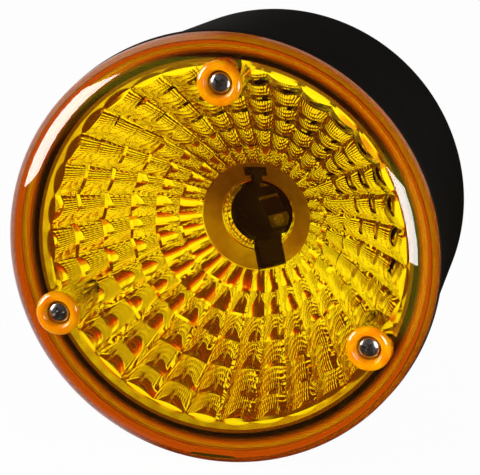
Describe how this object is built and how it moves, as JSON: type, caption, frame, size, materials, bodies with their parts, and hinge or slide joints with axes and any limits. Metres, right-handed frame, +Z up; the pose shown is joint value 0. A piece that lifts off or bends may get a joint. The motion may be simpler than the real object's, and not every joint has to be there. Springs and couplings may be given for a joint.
{
  "type": "round amber warning lamp",
  "caption": "Round surface-mounted amber warning lamp: clear screw-on lens cap, faceted reflector, bayonet bulb socket and deep black housing.",
  "frame": {"origin": "centre of the flat back face that goes against the wall or panel", "axes": "+Z up, with the top lens screw above; the lens faces -Y and the back face looks along +Y"},
  "size_m": [0.1406, 0.0928, 0.1406],
  "materials": {
    "amber_lens": "clear moulded acrylic",
    "black_plastic": "satin moulded",
    "metallised_plastic": "vacuum metallised",
    "holder_plastic": "moulded",
    "rubber": "matt",
    "seal_silicone": "orange silicone, matt",
    "steel": "zinc plated",
    "brass": "turned",
    "contact_brass": "stamped strip",
    "block_plastic": "moulded",
    "red_wire": "extruded",
    "black_wire": "extruded"
  },
  "bodies": {
    "lamp_base": {"housing": "black_plastic", "mounting_inserts": "brass", "cable_grommet": "rubber", "lens_gasket": "seal_silicone", "reflector": "metallised_plastic", "bulb_holder": "holder_plastic", "holder_screws": "steel", "leaf_root": "contact_brass", "earth_contact": "contact_brass", "live_terminal": "contact_brass", "earth_terminal": "contact_brass", "terminal_rivets": "brass", "wire_receptacles": "steel", "live_wire": "red_wire", "earth_wire": "black_wire", "terminal_block": "block_plastic", "clamp_sleeves": "brass", "clamp_screws": "steel", "block_screw": "steel"},
    "lens_cap": {"lens": "amber_lens", "screw_seals": "rubber"},
    "top_screw": {"lens_screw_top": "steel"},
    "left_screw": {"lens_screw_left": "steel"},
    "right_screw": {"lens_screw_right": "steel"},
    "contact_leaf": {"live_contact": "contact_brass"}
  },
  "joints": [
    {"name": "lens_lift", "type": "slide", "parent": "lamp_base", "child": "lens_cap", "axis": [0, -1, 0], "range_m": [0, 0.06]},
    {"name": "top_screw_turn", "type": "hinge", "parent": "lens_cap", "child": "top_screw", "pos_m": [0, -0.08, 0.056], "axis": [0, -1, 0], "continuous": true},
    {"name": "left_screw_turn", "type": "hinge", "parent": "lens_cap", "child": "left_screw", "pos_m": [-0.05075, -0.08, -0.02367], "axis": [0, -1, 0], "continuous": true},
    {"name": "right_screw_turn", "type": "hinge", "parent": "lens_cap", "child": "right_screw", "pos_m": [0.05075, -0.08, -0.02367], "axis": [0, -1, 0], "continuous": true},
    {"name": "contact_bend", "type": "hinge", "parent": "lamp_base", "child": "contact_leaf", "pos_m": [0.00164, -0.0129, -0.00451], "axis": [0.9397, 0, 0.342], "range_deg": [-18, 0], "stiffness_Nm_per_rad": 0.13}
  ]
}
